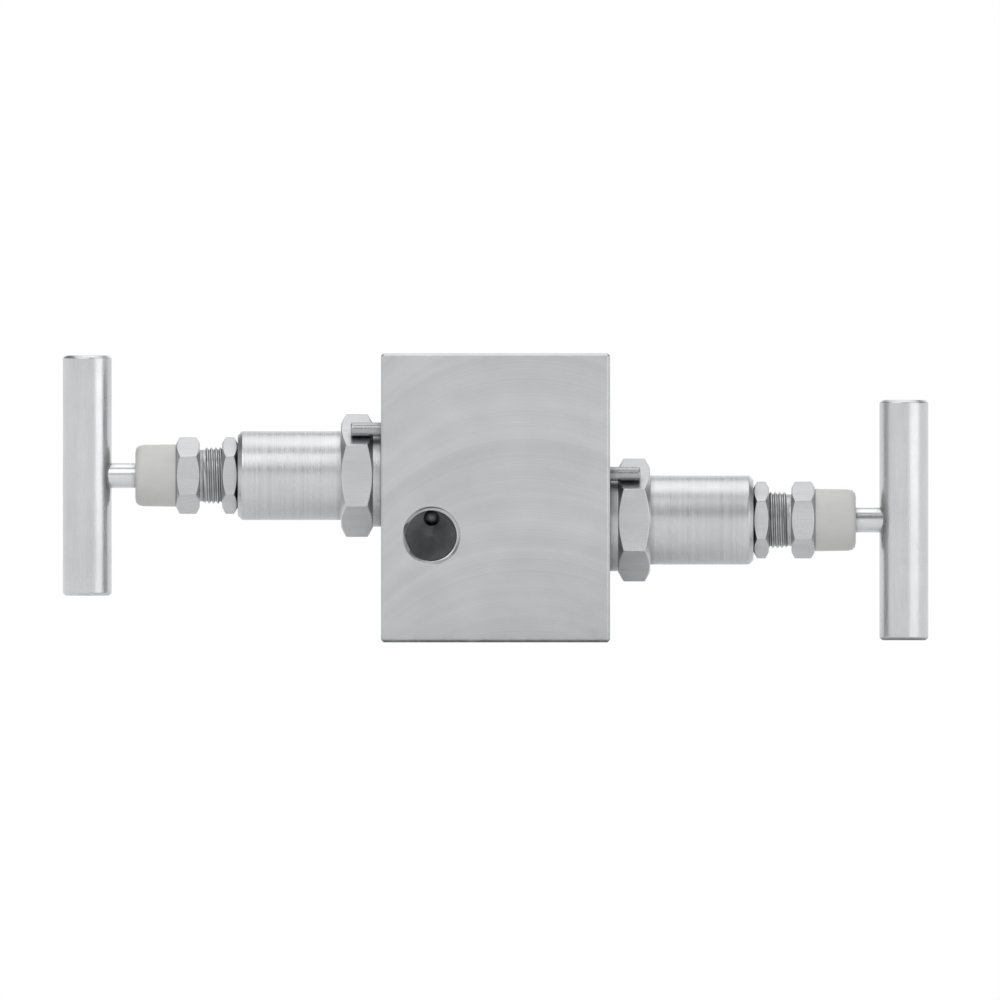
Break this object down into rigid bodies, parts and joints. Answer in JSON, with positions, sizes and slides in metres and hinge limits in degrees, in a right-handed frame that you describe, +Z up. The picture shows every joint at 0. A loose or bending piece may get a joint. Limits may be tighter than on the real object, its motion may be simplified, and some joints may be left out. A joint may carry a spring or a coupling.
{
  "type": "pressure gauge valve",
  "caption": "Steel gauge valve block with an isolate valve and a vent valve, each worked by a T-handle, threaded ports for inlet, gauge and vent.",
  "frame": {"origin": "centre of the inlet port's mouth on the block's underside", "axes": "+X out along the isolate valve's stem, +Y to the back, +Z up to the gauge port"},
  "size_m": [0.1944, 0.038, 0.065],
  "materials": {
    "block_steel": "fine milled stainless steel",
    "bonnet_steel": "turned stainless steel",
    "pin_steel": "ground steel pin",
    "ring_rubber": "moulded black rubber",
    "washer_steel": "turned stainless steel",
    "packing": "white soft packing",
    "sleeve_bronze": "turned bronze",
    "gland_steel": "turned stainless steel",
    "nut_steel": "turned stainless steel",
    "cap_plastic": "moulded pale plastic",
    "tip_steel": "hardened stainless steel",
    "stem_steel": "ground stainless steel",
    "handle_steel": "drawn stainless bar",
    "screw_steel": "dark alloy steel"
  },
  "bodies": {
    "root": {"valve_block": "block_steel", "isolate_bonnet": "bonnet_steel", "isolate_lock_pin": "pin_steel", "isolate_stem_ring": "ring_rubber", "isolate_packing_washer": "washer_steel", "isolate_packing_rings": "packing", "isolate_thrust_sleeve": "sleeve_bronze", "isolate_gland_screw": "gland_steel", "isolate_lock_nut": "nut_steel", "isolate_dust_cap": "cap_plastic", "vent_bonnet": "bonnet_steel", "vent_lock_pin": "pin_steel", "vent_stem_ring": "ring_rubber", "vent_packing_washer": "washer_steel", "vent_packing_rings": "packing", "vent_thrust_sleeve": "sleeve_bronze", "vent_gland_screw": "gland_steel", "vent_lock_nut": "nut_steel", "vent_dust_cap": "cap_plastic"},
    "isolate_tip": {"isolate_valve_tip": "tip_steel"},
    "isolate_spindle": {"isolate_stem": "stem_steel", "isolate_t_handle": "handle_steel", "isolate_set_screw": "screw_steel"},
    "vent_tip": {"vent_valve_tip": "tip_steel"},
    "vent_spindle": {"vent_stem": "stem_steel", "vent_t_handle": "handle_steel", "vent_set_screw": "screw_steel"}
  },
  "joints": [
    {"name": "isolate_lift", "type": "slide", "parent": "root", "child": "isolate_tip", "axis": [1, 0, 0], "range_m": [0, 0.0041]},
    {"name": "isolate_turn", "type": "hinge", "parent": "isolate_tip", "child": "isolate_spindle", "pos_m": [0.05, 0, 0.0275], "axis": [1, 0, 0], "range_deg": [0, 1440]},
    {"name": "vent_lift", "type": "slide", "parent": "root", "child": "vent_tip", "axis": [-1, 0, 0], "range_m": [0, 0.0041]},
    {"name": "vent_turn", "type": "hinge", "parent": "vent_tip", "child": "vent_spindle", "pos_m": [-0.05, 0, 0.0375], "axis": [-1, 0, 0], "range_deg": [0, 1440]}
  ],
  "couplings": [
    {"joint": "isolate_lift", "follows": "isolate_turn", "m_per_rad": 0.00015915},
    {"joint": "vent_lift", "follows": "vent_turn", "m_per_rad": 0.00015915}
  ]
}
